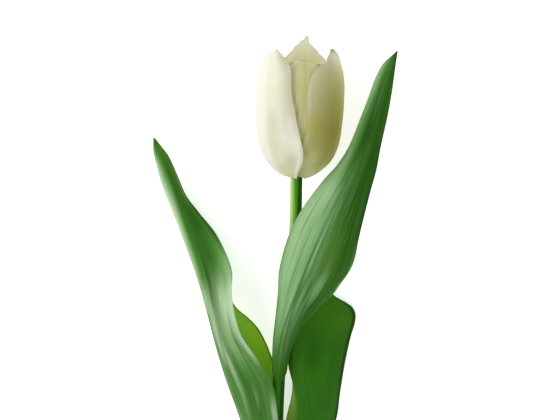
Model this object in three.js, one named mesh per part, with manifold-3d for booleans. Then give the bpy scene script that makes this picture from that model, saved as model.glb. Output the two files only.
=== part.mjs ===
// A cut white tulip lying on a table, in millimetres, +Z up. The stem runs along +Y to the bloom.
// Each leaf and tepal is a thin closed blade of its own, and the bloom is two rings of three tepals.
import * as THREE from "three";
import { mergeVertices } from "three/addons/utils/BufferGeometryUtils.js";
import Module from "manifold-3d";

const wasm = await Module();
wasm.setup();

// Stem. Its places count from the foot of the bloom, as all places below do.
const stemRadius = 3.05;
const cutEndRadius = 3.35;
const stemRoute = [
  [-8.4, -250, 3.35],
  [-10.6, -200, 6.5],
  [-11.7, -150, 10.0],
  [-11.2, -115, 12.5],
  [-9.6, -88, 14.4],
  [-5.9, -58, 16.4],
  [-2.7, -32, 18.1],
  [-1.8, 0, 20.15],
];

// Bloom: a cup on a slightly leaning axis, whose tepals overlap like the turns of a fan.
const tepalThickness = 0.8;
const bloomLean = 0.053;
const bloomRise = 0.04;
const receptacleHeight = 3.4;
const seam = 0.3;
const outerLift = 0.78;
const innerLift = 0.2;
const frontLift = -0.9;
const keelLift = 0.45;

// Leaves
const leafThickness = 0.8;

// What comes this near to the table is pressed flat on it.
const pressedBelow = 0.35;

// Heart of the bloom
const ovaryRadius = 2.5;
const pistilHeight = 17;
const stamenCount = 6;
const stamenSpread = 5.2;
const filamentRadius = 0.65;
const antherRadius = 1.15;
const antherFrom = 10.5;
const antherTo = 20.5;

// Middle of the footprint, which becomes the origin
const middleX = -12.5;
const middleY = -89.5;

const vec = (p) => new THREE.Vector3(p[0], p[1], p[2] ?? 0);
const curve = (points) => new THREE.CatmullRomCurve3(points.map(vec), false, "centripetal");

// A smooth graph through [x, y] points, read at x
function graph(points) {
  const line = new THREE.SplineCurve(points.map((p) => new THREE.Vector2(...p)));
  return (x) => {
    let low = 0;
    let high = 1;
    for (let i = 0; i < 40; i++) {
      const middle = (low + high) / 2;
      if (line.getPoint(middle).x < x) low = middle;
      else high = middle;
    }
    return line.getPoint(low).y;
  };
}

// A closed blade round the middle surface at(u, v), u from -1 to 1 across and v from 0 to 1 along.
// Both faces are split into triangles alike, so they never cross.
function blade(at, thickness, across, along) {
  const point = (i, j) => at((2 * i) / across - 1, j / along);
  const middle = [];
  for (let j = 0; j <= along; j++) for (let i = 0; i <= across; i++) middle.push(point(i, j));
  const index = (i, j) => j * (across + 1) + i;
  const clampTo = (value, most) => Math.min(Math.max(value, 0), most);
  const near = (i, j) => middle[index(clampTo(i, across), clampTo(j, along))];
  const upper = [];
  const lower = [];
  for (let j = 0; j <= along; j++) {
    for (let i = 0; i <= across; i++) {
      const side = near(i + 1, j).clone().sub(near(i - 1, j));
      const ahead = near(i, j + 1).clone().sub(near(i, j - 1));
      const normal = side.cross(ahead).normalize().multiplyScalar(thickness / 2);
      upper.push(near(i, j).clone().add(normal));
      lower.push(near(i, j).clone().sub(normal));
    }
  }
  const count = middle.length;
  const faces = [];
  for (let j = 0; j < along; j++) {
    for (let i = 0; i < across; i++) {
      const [a, b, c, d] = [index(i, j), index(i + 1, j), index(i + 1, j + 1), index(i, j + 1)];
      faces.push(a, b, c, a, c, d);
      faces.push(a + count, c + count, b + count, a + count, d + count, c + count);
    }
  }
  const rim = [];
  for (let i = 0; i < across; i++) rim.push(index(i, 0));
  for (let j = 0; j < along; j++) rim.push(index(across, j));
  for (let i = across; i > 0; i--) rim.push(index(i, along));
  for (let j = along; j > 0; j--) rim.push(index(0, j));
  rim.forEach((a, k) => {
    const b = rim[(k + 1) % rim.length];
    faces.push(a, a + count, b + count, a, b + count, b);
  });
  const skin = [...upper, ...lower];
  for (const p of skin) if (p.z < pressedBelow) p.z = 0;
  return new THREE.BufferGeometry().setFromPoints(skin).setIndex(faces);
}

// The middle surface keeps half its thickness above the table.
const aboveTable = (p, thickness) => p.setZ(Math.max(p.z, thickness / 2));

// A closed round body along a route, with radius(v, angle)
function rod(route, radius, sides, steps) {
  const geometry = new THREE.CylinderGeometry(1, 1, 1, sides, steps);
  geometry.deleteAttribute("normal").deleteAttribute("uv");
  const merged = mergeVertices(geometry, 1e-4);
  const frames = route.computeFrenetFrames(steps, false);
  const place = merged.attributes.position;
  for (let k = 0; k < place.count; k++) {
    const v = place.getY(k) + 0.5;
    const ring = Math.round(v * steps);
    const angle = Math.atan2(place.getZ(k), place.getX(k));
    const r = radius(v, angle) * Math.hypot(place.getX(k), place.getZ(k));
    const p = route.getPointAt(v);
    p.addScaledVector(frames.binormals[ring], r * Math.cos(angle));
    p.addScaledVector(frames.normals[ring], r * Math.sin(angle));
    place.setXYZ(k, p.x, p.y, p.z);
  }
  return merged;
}

function toSolid(geometry) {
  const g = geometry.index ? geometry.clone() : mergeVertices(geometry);
  return new wasm.Manifold(
    new wasm.Mesh({
      numProp: 3,
      vertProperties: new Float32Array(g.attributes.position.array),
      triVerts: new Uint32Array(g.index.array),
    }),
  );
}

function fromSolid(solid) {
  const made = solid.getMesh();
  const geometry = new THREE.BufferGeometry();
  geometry.setAttribute("position", new THREE.BufferAttribute(made.vertProperties, 3));
  return geometry.setIndex(new THREE.BufferAttribute(made.triVerts, 1));
}

// Bloom frame: h along the axis from its foot, angle from straight up (+Z) towards +X
const foot = vec(stemRoute.at(-1));
const axis = new THREE.Vector3(bloomLean, 1, bloomRise).normalize();
const towardsX = new THREE.Vector3(1, 0, 0).cross(axis).cross(axis).negate().normalize();
const towardsZ = towardsX.clone().cross(axis).normalize();

function inBloom(radius, height, angle) {
  return foot
    .clone()
    .addScaledVector(axis, height)
    .addScaledVector(towardsX, radius * Math.sin(angle))
    .addScaledVector(towardsZ, radius * Math.cos(angle));
}

// Middle line of a tepal from its foot up, as [radius, height], before its own top part
const outerCup = [
  [3.8, 0.5],
  [7.3, 1.5],
  [11.2, 4.2],
  [16.0, 10.0],
  [19.2, 18.0],
  [20.7, 28.0],
  [21.3, 38.0],
];
const leftCup = [
  [3.8, 0.5],
  [7.6, 1.4],
  [12.0, 4.1],
  [16.9, 9.9],
  [20.2, 17.9],
  [21.9, 28.0],
  [22.5, 38.0],
];
const innerCup = [
  [3.8, 2.8],
  [6.8, 3.8],
  [10.1, 6.2],
  [14.1, 11.5],
  [17.0, 19.0],
  [18.6, 28.5],
  [19.1, 38.0],
];
const frontCup = [
  [3.8, 2.8],
  [6.8, 3.8],
  [10.1, 6.2],
  [14.15, 11.4],
  [17.1, 18.9],
  [18.65, 28.5],
  [19.1, 38.0],
];

// Widths run from the foot to the tip as [share of the length, millimetres from the midrib].
const innerHalf = [
  [0, 2.6],
  [0.12, 8.6],
  [0.22, 12.6],
  [0.36, 15.6],
  [0.52, 16.6],
  [0.68, 15.6],
  [0.8, 13.2],
  [0.9, 9.4],
  [0.96, 5.4],
  [1, 0.45],
];

// Tilt of a tepal's right margin out of its curve, along its length
const straight = [[0, 0], [1, 0]];

const tepals = {
  tepal_outer_left: {
    turn: -64,
    cup: leftCup,
    lift: outerLift,
    top: [[22.6, 48.0], [21.1, 56.0], [18.6, 61.0], [14.5, 64.3]],
    left: [[0, 3.0], [0.12, 11.8], [0.22, 17.2], [0.34, 20.5], [0.5, 21.8], [0.65, 21.0],
      [0.8, 18.6], [0.9, 14.6], [0.945, 9.8], [0.965, 6.0], [0.985, 2.7], [1, 0.4]],
    right: [[0, 4.6], [0.05, 8.6], [0.1, 12.6], [0.2, 20.0], [0.27, 23.2], [0.34, 24.0],
      [0.42, 23.6], [0.5, 22.9], [0.58, 22.0], [0.66, 20.7], [0.76, 19.8], [0.83, 18.3],
      [0.885, 15.2], [0.93, 10.0], [0.965, 5.2], [0.985, 2.5], [1, 0.4]],
    curl: [[0, 0], [0.34, 0], [0.45, -0.9], [0.6, -1.4], [0.78, -1.0], [1, 0]],
  },
  tepal_outer_right: {
    turn: 70,
    cup: outerCup,
    top: [[20.8, 50.0], [18.8, 57.5], [16.9, 61.7], [14.9, 65.3]],
    left: [[0, 5.0], [0.05, 9.4], [0.12, 14.4], [0.2, 18.6], [0.28, 20.8], [0.35, 21.6],
      [0.48, 21.6], [0.58, 22.4], [0.66, 22.8], [0.72, 22.4], [0.77, 20.9], [0.83, 18.0],
      [0.875, 14.4], [0.9, 9.8], [0.93, 7.6], [0.965, 4.2], [0.983, 1.6], [1, 0.4]],
    right: [[0, 2.8], [0.12, 10.0], [0.22, 15.8], [0.34, 21.5], [0.5, 22.6], [0.65, 21.4],
      [0.78, 17.8], [0.88, 12.4], [0.93, 8.0], [0.965, 4.2], [0.985, 2.0], [1, 0.4]],
  },
  tepal_outer_back: {
    turn: 168,
    cup: outerCup,
    top: [[20.8, 49.0], [18.0, 58.0], [13.8, 65.0], [9.6, 70.8]],
    left: [[0, 2.8], [0.12, 9.4], [0.22, 14.6], [0.34, 19.2], [0.5, 21.0], [0.62, 20.2],
      [0.73, 16.6], [0.8, 11.8], [0.85, 8.2], [0.9, 5.2], [0.94, 2.7], [0.965, 1.4], [1, 0.45]],
    right: [[0, 2.8], [0.12, 10.2], [0.22, 16.2], [0.34, 21.6], [0.5, 24.2], [0.62, 23.0],
      [0.73, 19.4], [0.8, 14.8], [0.85, 10.8], [0.91, 7.2], [0.96, 3.9], [1, 0.45]],
  },
  tepal_inner_front: {
    turn: 6,
    cup: frontCup,
    lift: frontLift,
    top: [[18.9, 47.5], [17.6, 54.2], [14.9, 57.6], [11.0, 58.2]],
    left: innerHalf,
    right: innerHalf,
  },
  tepal_inner_left: {
    turn: -117,
    cup: innerCup,
    top: [[18.7, 47.0], [16.4, 54.6], [13.6, 58.6], [11.4, 60.4]],
    left: innerHalf,
    right: innerHalf,
  },
  tepal_inner_right: {
    turn: 128,
    cup: innerCup,
    top: [[18.5, 46.0], [16.0, 52.6], [13.2, 56.0], [11.0, 57.4]],
    left: innerHalf,
    right: innerHalf,
  },
};

function tepal({ turn, cup, lift: tilt, top, left, right, curl }) {
  const line = curve([...cup, ...top]);
  const halves = { left: graph(left), right: graph(right) };
  const slope = tilt ?? (cup === outerCup ? outerLift : innerLift);
  const rightCurl = graph(curl ?? straight);
  const at = (u, v) => {
    const p = line.getPointAt(v);
    const t = line.getTangentAt(v);
    const half = u < 0 ? halves.left(v) : halves.right(v);
    const keel = keelLift * Math.exp(-((u / 0.3) ** 2)) * Math.sin(Math.PI * Math.min(v * 1.1, 1));
    const bend = rightCurl(v) * THREE.MathUtils.smoothstep(u, 0.3, 1);
    const lift = slope * u + keel + bend;
    const angle = THREE.MathUtils.degToRad(turn) + (u * half) / p.x;
    return aboveTable(inBloom(p.x + t.y * lift, p.y - t.x * lift, angle), tepalThickness);
  };
  return blade(at, tepalThickness, 10, 14);
}

// Leaves: the two margins and the rib from the foot to the tip, and how far each half bows out
// between them. Left and right are as seen from outside with the tip up.
const leaves = {
  leaf_left: {
    left: [
      [-8.4, -203, 2.2], [-8.6, -176, 1.7], [-9.6, -148, 1.6], [-10.6, -120, 1.8],
      [-12.2, -97, 2.4], [-15.6, -86, 3.2], [-20.9, -75.6, 3.8], [-26.1, -70.0, 4.0],
      [-31.4, -65.6, 3.6], [-35.8, -59.5, 2.4], [-43.0, -50, 1.2], [-50.5, -40, 0.4],
      [-57.6, -27, 0.8], [-64.0, -12, 2.6], [-69.9, 3, 5.0], [-73.1, 13, 6.8],
      [-73.6, 20.4, 8.0],
    ],
    rib: [
      [-14.7, -204, 6.5], [-17.0, -176, 8.4], [-22.0, -150, 9.6], [-29.0, -123, 10.6],
      [-36.4, -102, 12.0], [-41.4, -86, 13.4], [-45.6, -70, 14.6], [-49.7, -53, 15.0],
      [-53.6, -38, 15.0], [-58.6, -22, 14.2], [-63.6, -6, 12.8], [-68.8, 7, 11.2],
      [-72.0, 14.5, 9.6], [-73.3, 20.4, 8.0],
    ],
    right: [
      [-8.6, -203, 10.4], [-7.8, -186, 12.6], [-7.9, -165, 15.0], [-9.0, -142, 17.2],
      [-11.0, -120.5, 18.8], [-13.9, -103, 19.9], [-20.9, -91.2, 20.4], [-29.2, -79, 20.6],
      [-31.8, -71, 20.9], [-33.7, -62, 21.0], [-34.3, -55, 20.6], [-33.9, -48.5, 19.4],
      [-35.5, -41.5, 17.2], [-42.0, -28, 13.4], [-50.4, -17.5, 10.6], [-57.2, -8.5, 9.0],
      [-61.0, 0.2, 8.6], [-66.0, 11.2, 8.6], [-70.0, 16.6, 8.4], [-73.0, 20.4, 8.0],
    ],
    bow: [[0, 1.9, 1.7], [0.12, 2.2, 2.2], [0.3, 3.6, 2.2], [0.5, 4.3, 0.6], [0.62, 4.4, -2.2],
      [0.72, 3.2, -1.6], [0.8, 2.5, -0.6], [0.9, 2.8, 0.4], [1, 0, 0]],
  },
  leaf_right: {
    left: [
      [-13.9, -93, 14.4], [-13.8, -88, 15.0], [-13.4, -80, 16.4], [-12.5, -72, 18.0],
      [-11.1, -58, 20.4], [-10.5, -47, 22.4], [-8.4, -37, 23.8], [-4.6, -26, 24.8],
      [0.9, -15.6, 25.4], [11.6, -1.2, 26.4], [18.4, 6.3, 26.6], [24.0, 15, 26.6],
      [30.2, 30, 26.4], [34.4, 41, 26.0], [37.8, 50.4, 25.6], [41.6, 57.2, 25.0],
      [48.2, 63.2, 24.4],
    ],
    rib: [
      [-10.6, -103, 17.9], [-9.6, -92, 19.0], [-7.5, -80, 21.2], [-4.2, -69, 23.6],
      [0.6, -57.6, 26.0], [5.2, -47, 28.0], [10.2, -35, 29.4], [16.2, -21, 30.4],
      [23.0, -6, 30.4], [29.6, 9, 29.8], [35.4, 25, 28.8], [40.6, 41, 27.4],
      [44.4, 53, 26.0], [48.5, 63.6, 24.4],
    ],
    right: [
      [-6.2, -93, 14.4], [-5.5, -88.8, 15.2], [-3.6, -83.5, 16.2],
      [-0.1, -77.5, 17.2], [4.3, -71, 17.8], [9.7, -64.5, 18.2], [16.9, -57.6, 18.6],
      [19.6, -53.8, 18.9], [24.0, -47.6, 19.2], [27.0, -41.5, 19.6], [29.2, -30.8, 20.4],
      [32.4, -17.5, 21.6], [35.6, -5, 22.6], [38.0, 3.7, 23.4], [40.2, 15.5, 24.2],
      [43.6, 30.8, 24.8], [45.9, 43.5, 24.9], [47.7, 56.2, 24.8], [48.8, 63.2, 24.4],
    ],
    bow: [[0, 1.5, 1.5], [0.15, 1.6, 1.6], [0.35, 2.4, 1.8], [0.55, 2.2, 1.2], [0.75, 1.0, 0.6],
      [1, 0, 0]],
  },
  leaf_back: {
    left: [
      [-14.4, -176, 5.4], [-13.2, -158, 5.0], [-10.4, -140, 5.0], [-8.0, -126, 5.6],
      [-6.4, -117, 6.4], [-4.8, -110, 7.6], [-4.0, -103, 8.4], [-5.6, -95, 8.8],
      [-6.2, -86, 8.8], [-2.6, -72, 8.6], [3.0, -60, 8.2], [7.4, -50, 7.8], [9.2, -44, 7.4],
    ],
    rib: [
      [-9.9, -178, 4.3], [-8.0, -160, 5.0], [-5.0, -142, 6.4], [-1.4, -126, 9.4],
      [-0.4, -116, 11.2], [-1.4, -108, 12.2], [-3.0, -102, 12.4], [-3.8, -94, 12.4],
      [-2.6, -82, 12.2], [1.0, -70, 11.6], [5.0, -60, 10.6], [8.6, -50, 8.8], [9.6, -43.6, 7.4],
    ],
    right: [
      [-7.2, -176, 8.0], [-2.4, -162, 6.6], [5.0, -147, 3.6], [13.3, -133, 1.2],
      [18.6, -121, 0.4], [20.6, -107.2, 0.4], [22.8, -92.3, 0.4], [25.5, -80, 0.4],
      [27.8, -72.0, 0.6], [27.9, -68.0, 1.0], [26.3, -64.8, 1.6], [23.3, -62.6, 2.4],
      [16.9, -58.6, 4.0], [12.6, -52, 5.8], [10.0, -44, 7.4],
    ],
    bow: [[0, -0.9, -0.8], [0.12, -0.5, -0.2], [0.3, 0.6, 1.6], [0.6, 0.8, 2.0], [0.85, 0.4, 0.8],
      [1, 0, 0]],
  },
};

function leaf({ left, rib, right, bow }) {
  const [leftLine, ribLine, rightLine] = [left, rib, right].map(curve);
  const leftBow = graph(bow.map((b) => [b[0], b[1]]));
  const rightBow = graph(bow.map((b) => [b[0], b[2]]));
  const between = (a, b, ahead, size) => {
    const out = b.clone().sub(a).cross(ahead).normalize();
    return a.clone().add(b).multiplyScalar(0.5).addScaledVector(out, size);
  };
  const at = (u, v) => {
    const [a, m, b] = [leftLine, ribLine, rightLine].map((line) => line.getPointAt(v));
    const ahead = ribLine.getTangentAt(v);
    const section = new THREE.CatmullRomCurve3([
      a, between(a, m, ahead, leftBow(v)), m, between(m, b, ahead, rightBow(v)), b,
    ]);
    return aboveTable(section.getPoint((u + 1) / 2), leafThickness);
  };
  return blade(at, leafThickness, 8, 40);
}

// The stalk thickens towards its cut end, and its top is the receptacle that the bloom sits on.
function stem() {
  const receptacleTop = inBloom(0, receptacleHeight, 0).toArray();
  const radius = (v) => THREE.MathUtils.lerp(cutEndRadius, stemRadius, Math.min(v * 4, 1));
  return rod(curve([...stemRoute, receptacleTop]), radius, 12, 26);
}

// Three-sided ovary that widens into a three-lobed stigma
function pistil() {
  const from = receptacleHeight + seam;
  const route = curve([inBloom(0, from, 0), inBloom(0, from + pistilHeight / 2, 0),
    inBloom(0, from + pistilHeight, 0)].map((p) => p.toArray()));
  const outline = graph([[0, 0.5], [0.07, 0.5], [0.22, 1.0], [0.6, 1.0], [0.8, 0.8], [0.88, 0.95],
    [0.95, 1.5], [1, 1.3]]);
  const lobes = graph([[0, 0.0], [0.2, 0.1], [0.8, 0.12], [0.92, 0.3], [1, 0.35]]);
  const radius = (v, angle) => ovaryRadius * outline(v) * (1 + lobes(v) * Math.cos(3 * angle));
  return rod(route, radius, 12, 12);
}

// Six stamens on one ring round the foot of the ovary
function stamens() {
  const bottom = receptacleHeight + seam;
  const ring = new THREE.LatheGeometry(
    [[1.9, 0], [3.0, 0], [3.0, 0.9], [1.9, 0.9], [1.9, 0]].map((p) => new THREE.Vector2(...p)), 12);
  ring.deleteAttribute("normal").deleteAttribute("uv");
  ring.applyMatrix4(new THREE.Matrix4().makeBasis(towardsX, axis, towardsZ));
  const seat = inBloom(0, bottom, 0);
  ring.translate(seat.x, seat.y, seat.z);
  let whole = toSolid(mergeVertices(ring, 1e-4));
  for (let k = 0; k < stamenCount; k++) {
    const angle = ((k + 0.5) * 2 * Math.PI) / stamenCount;
    const at = (r, h) => inBloom(r, h, angle).toArray();
    const filament = rod(curve([at(2.4, bottom + 0.6), at(4.3, 6.5), at(stamenSpread - 0.1, antherFrom),
      at(stamenSpread, antherFrom + 1.5)]), () => filamentRadius, 5, 4);
    const swell = (v) => antherRadius * Math.max(Math.sin(Math.PI * v) ** 0.5, 0.35);
    const anther = rod(curve([at(stamenSpread - 0.2, antherFrom),
      at(stamenSpread + 0.1, (antherFrom + antherTo) / 2), at(stamenSpread + 0.3, antherTo)]), swell, 6, 5);
    whole = whole.add(toSolid(filament)).add(toSolid(anther));
  }
  return fromSolid(whole);
}

const shades = {
  stem: [0x6f9a45, 0.55],
  leaf_left: [0x4f8a3c, 0.5],
  leaf_right: [0x5f9650, 0.5],
  leaf_back: [0x3b7a22, 0.5],
  tepal_outer_left: [0xe8e3cf, 0.6],
  tepal_outer_right: [0xc9c48f, 0.6],
  tepal_outer_back: [0xdcd9c0, 0.6],
  tepal_inner_front: [0xcdc890, 0.6],
  tepal_inner_left: [0xdedac0, 0.6],
  tepal_inner_right: [0xdedac0, 0.6],
  pistil: [0xa9b86a, 0.6],
  stamens: [0xd8c25a, 0.7],
};

function named(name, geometry) {
  const [color, roughness] = shades[name];
  const material = new THREE.MeshStandardMaterial({ color, roughness, metalness: 0 });
  const mesh = new THREE.Mesh(geometry, material);
  mesh.name = name;
  return mesh;
}

const tulip = new THREE.Group();
tulip.add(named("stem", stem()));
for (const [name, spec] of Object.entries(leaves)) tulip.add(named(name, leaf(spec)));
for (const [name, spec] of Object.entries(tepals)) tulip.add(named(name, tepal(spec)));
tulip.add(named("pistil", pistil()), named("stamens", stamens()));
tulip.position.set(-middleX, -middleY, 0);

export default tulip;
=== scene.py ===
import math
import random

import bpy
import numpy as np
from mathutils import Matrix, Vector


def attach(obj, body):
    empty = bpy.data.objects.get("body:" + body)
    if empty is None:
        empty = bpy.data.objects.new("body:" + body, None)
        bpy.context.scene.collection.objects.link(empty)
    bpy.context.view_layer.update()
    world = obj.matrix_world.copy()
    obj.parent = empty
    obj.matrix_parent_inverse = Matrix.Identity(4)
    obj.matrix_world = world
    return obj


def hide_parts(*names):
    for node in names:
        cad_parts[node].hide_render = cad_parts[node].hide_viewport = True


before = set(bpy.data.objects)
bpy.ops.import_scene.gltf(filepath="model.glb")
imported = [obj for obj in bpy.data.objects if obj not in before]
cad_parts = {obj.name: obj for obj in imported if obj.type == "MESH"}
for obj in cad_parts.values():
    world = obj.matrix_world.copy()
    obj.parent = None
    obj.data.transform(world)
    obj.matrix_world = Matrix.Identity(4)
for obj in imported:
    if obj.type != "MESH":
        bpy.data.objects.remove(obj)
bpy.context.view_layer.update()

mm = 0.001
footprintMiddle = np.array([-12.5, -89.5, 0.0])  # becomes the origin, in mm from the foot of the bloom
upwards = np.array([0.0, 0.0, 1.0])
smoothAngle = math.radians(50)
curveSteps, graphSteps = 60, 40  # how many steps a curve or a graph takes from one point to the next
slopeReach = 2e-3  # the share of a curve's length that its direction is read over
samePoint = 1e-4  # points nearer than this count as one
capReach = 0.9  # how far the insets of a tube's cap reach towards its middle
onTableWithin = 0.3  # mm above the table that stay flat, without relief


# Curves and frames, in millimetres
def unit(v):
    return v / np.maximum(np.linalg.norm(v, axis=-1, keepdims=True), 1e-9)


def neighbours(points, place):  # the four points around each place in a list, and the share between them
    i = np.minimum(place.astype(int), len(points) - 4)
    return points[i], points[i + 1], points[i + 2], points[i + 3], (place - i)[..., None]


def cubic(start, end, leave, arrive, w):  # from start to end, with a given slope at each
    return (start + leave * w + (3 * (end - start) - 2 * leave - arrive) * w**2
            + (2 * (start - end) + leave + arrive) * w**3)


def smoothThrough(points, t):  # a smooth curve through all points, t from 0 to 1 in equal steps a point
    p = np.asarray(points, float)
    p = np.vstack([2 * p[0] - p[1], p, 2 * p[-1] - p[-2]])
    p0, p1, p2, p3, w = neighbours(p, np.clip(np.asarray(t, float), 0, 1) * (len(p) - 3))
    pairs = ((p0, p1), (p1, p2), (p2, p3))
    gap = [np.sqrt(np.linalg.norm(b - a, axis=-1, keepdims=True)) for a, b in pairs]
    d1 = np.where(gap[1] < samePoint, 1.0, gap[1])
    d0 = np.where(gap[0] < samePoint, d1, gap[0])
    d2 = np.where(gap[2] < samePoint, d1, gap[2])
    leave = ((p1 - p0) / d0 - (p2 - p0) / (d0 + d1) + (p2 - p1) / d1) * d1
    arrive = ((p2 - p1) / d1 - (p3 - p1) / (d1 + d2) + (p3 - p2) / d2) * d1
    return cubic(p1, p2, leave, arrive, w)


def alongCurve(points, shares):  # places and directions at shares of the curve's length
    fine = smoothThrough(points, np.linspace(0, 1, curveSteps * (len(points) - 1) + 1))
    length = np.concatenate([[0], np.cumsum(np.linalg.norm(np.diff(fine, axis=0), axis=1))])
    def at(share):
        return np.stack([np.interp(share * length[-1], length, column) for column in fine.T], -1)
    shares = np.asarray(shares, float)
    behind, ahead = np.maximum(shares - slopeReach, 0), np.minimum(shares + slopeReach, 1)
    return at(shares), unit(at(ahead) - at(behind))


def readGraph(points, x):  # a smooth graph through [x, y] points
    p = np.asarray(points, float)
    p = np.vstack([p[0], p, p[-1]])
    p0, p1, p2, p3, w = neighbours(p, np.linspace(0, len(p) - 3, graphSteps * (len(p) - 3) + 1))
    line = cubic(p1, p2, (p2 - p0) / 2, (p3 - p1) / 2, w)
    return np.interp(x, line[:, 0], line[:, 1])


def bell(x, centre, width):
    return np.exp(-(((x - centre) / width) ** 2))


def fade(x, start, end):  # 0 at start, 1 at end, smooth between
    t = np.clip((x - start) / (end - start), 0, 1)
    return t * t * (3 - 2 * t)


def softWaves(x, seed, count, lowest, highest):  # a sum of a few sines, near -1 to 1
    draw = random.Random(seed)
    total = 0 * x
    for _ in range(count):
        total = total + np.sin(2 * math.pi * (draw.uniform(lowest, highest) * x + draw.random()))
    return total / count**0.5


# Pieces
def clearSelection():
    bpy.ops.object.select_all(action="DESELECT")


def vertexPlaces(piece):
    places = np.empty(len(piece.data.vertices) * 3, np.float32)
    piece.data.vertices.foreach_get("co", places)
    return places.reshape(-1, 3)


def moveVertices(piece, placesInMm):
    places = (placesInMm - footprintMiddle) * mm
    piece.data.vertices.foreach_set("co", places.astype(np.float32).ravel())
    piece.data.update()


def finishPiece(piece, node, material):
    clearSelection()
    piece.select_set(True)
    bpy.context.view_layer.objects.active = piece
    bpy.ops.object.mode_set(mode="EDIT")
    bpy.ops.mesh.select_all(action="SELECT")
    bpy.ops.mesh.normals_make_consistent(inside=False)
    bpy.ops.object.mode_set(mode="OBJECT")
    bpy.ops.object.shade_smooth_by_angle(angle=smoothAngle)
    piece.data.materials.clear()
    piece.data.materials.append(material)
    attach(piece, "root")
    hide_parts(node)
    print("made", piece.name, len(piece.data.polygons), "faces")
    return piece


def bentSheet(name, s, middle):
    # a flat grid is laid on the middle surface, then thickened evenly to both sides, less so at its margins
    across, along, marginShare = s["across"], s["along"], s["marginShare"]
    clearSelection()
    bpy.ops.mesh.primitive_grid_add(x_subdivisions=across, y_subdivisions=along, size=2)
    piece = bpy.context.object
    piece.name = name
    flat = vertexPlaces(piece)
    column = np.rint((flat[:, 0] + 1) / 2 * across).astype(int)
    row = np.rint((flat[:, 1] + 1) / 2 * along).astype(int)
    u, v = np.linspace(-1, 1, across + 1), np.linspace(0, 1, along + 1)
    moveVertices(piece, middle(u, v)[row, column])
    u, v = np.abs(u[column]), v[row]
    weight = marginShare + (1 - marginShare) * fade(u, 1.0, s["fullWithin"]) * fade(v, 1.0, s["fullBelow"])
    group = piece.vertex_groups.new(name="thickness")
    for index, share in enumerate(weight):
        group.add([index], float(share), "REPLACE")
    solid = piece.modifiers.new("thickness", "SOLIDIFY")
    solid.thickness = s["thickness"] * mm
    solid.offset = 0
    solid.vertex_group = "thickness"
    bpy.ops.object.modifier_apply(modifier="thickness")
    piece.vertex_groups.clear()
    for vertex in piece.data.vertices:
        vertex.co.z = max(vertex.co.z, 0.0)
    return piece


def settle(surface, s, heights):  # rests a surface on the table and lifts the rest along its normals
    lowest = s["thickness"] / 2
    surface[..., 2] = np.maximum(surface[..., 2], lowest)
    side = np.gradient(surface, axis=1)
    ahead = np.gradient(surface, axis=0)
    heights = np.where(surface[..., 2] <= lowest + onTableWithin, 0.0, heights)
    return surface + unit(np.cross(side, ahead)) * heights[..., None]


def tube(name, route, radius, sides, rings, capRings):
    # a circle is extruded ring by ring, its ends are closed, and it is bent along the route
    clearSelection()
    bpy.ops.mesh.primitive_circle_add(vertices=sides, radius=1, fill_type="NOTHING")
    piece = bpy.context.object
    piece.name = name
    bpy.ops.object.mode_set(mode="EDIT")
    bpy.ops.mesh.select_all(action="SELECT")
    for _ in range(rings):
        bpy.ops.mesh.extrude_region_move(TRANSFORM_OT_translate={"value": (0, 0, 1)})
    bpy.ops.object.mode_set(mode="OBJECT")
    for end in (0, rings):
        for vertex in piece.data.vertices:
            vertex.select = round(vertex.co.z) == end
        for edge in piece.data.edges:
            edge.select = all(piece.data.vertices[k].select for k in edge.vertices)
        bpy.ops.object.mode_set(mode="EDIT")
        bpy.ops.mesh.edge_face_add()
        for _ in range(capRings):
            bpy.ops.mesh.inset(thickness=capReach / (capRings + 1))
        bpy.ops.mesh.poke()
        bpy.ops.mesh.select_all(action="DESELECT")
        bpy.ops.object.mode_set(mode="OBJECT")
    flat = vertexPlaces(piece)
    v = flat[:, 2] / rings
    angle = np.arctan2(flat[:, 1], flat[:, 0])
    reach = np.hypot(flat[:, 0], flat[:, 1])
    at, ahead = alongCurve(route, v)
    sideways = unit(np.cross(ahead, upwards))
    over = np.cross(sideways, ahead)
    r = (radius(v, angle) * reach)[:, None]
    moveVertices(piece, at + r * (sideways * np.cos(angle)[:, None] + over * np.sin(angle)[:, None]))
    skin = np.stack([flat[:, 0], v, flat[:, 1]], -1).astype(np.float32)
    piece.data.attributes.new("skin", "FLOAT_VECTOR", "POINT").data.foreach_set("vector", skin.ravel())
    return piece


def joinPieces(name, parts):
    clearSelection()
    for piece in parts:
        piece.select_set(True)
    bpy.context.view_layer.objects.active = parts[0]
    bpy.ops.object.join()
    parts[0].name = name
    return parts[0]


# Shader maths
class Wire:  # wraps a socket, so that shader maths reads as maths
    def __init__(self, tree, socket=None):
        self.tree = tree
        self.socket = socket

    def node(self, kind, settings=None, inputs=None, output=0):
        made = self.tree.nodes.new(kind)
        for key, value in (settings or {}).items():
            setattr(made, key, value)
        for key, value in (inputs or {}).items():
            if isinstance(value, Wire):
                self.tree.links.new(value.socket, made.inputs[key])
            else:
                made.inputs[key].default_value = value
        return Wire(self.tree, made.outputs[output] if len(made.outputs) else None)

    def maths(self, operation, first, second=0.0):
        return self.node("ShaderNodeMath", {"operation": operation}, {0: first, 1: second})

    def __add__(self, other):
        return self.maths("ADD", self, other)

    def __radd__(self, other):
        return self.maths("ADD", other, self)

    def __sub__(self, other):
        return self.maths("SUBTRACT", self, other)

    def __rsub__(self, other):
        return self.maths("SUBTRACT", other, self)

    def __mul__(self, other):
        return self.maths("MULTIPLY", self, other)

    def __rmul__(self, other):
        return self.maths("MULTIPLY", other, self)

    def __abs__(self):
        return self.maths("ABSOLUTE", self)


def step(value, start, end):  # 0 at start, 1 at end, smooth between
    return value.node("ShaderNodeMapRange", {"interpolation_type": "SMOOTHSTEP"},
                      {"Value": value, "From Min": start, "From Max": end})


def stepFrom(floor, value, start, end):  # the floor at start, 1 at end
    return floor + (1 - floor) * step(value, start, end)


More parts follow.
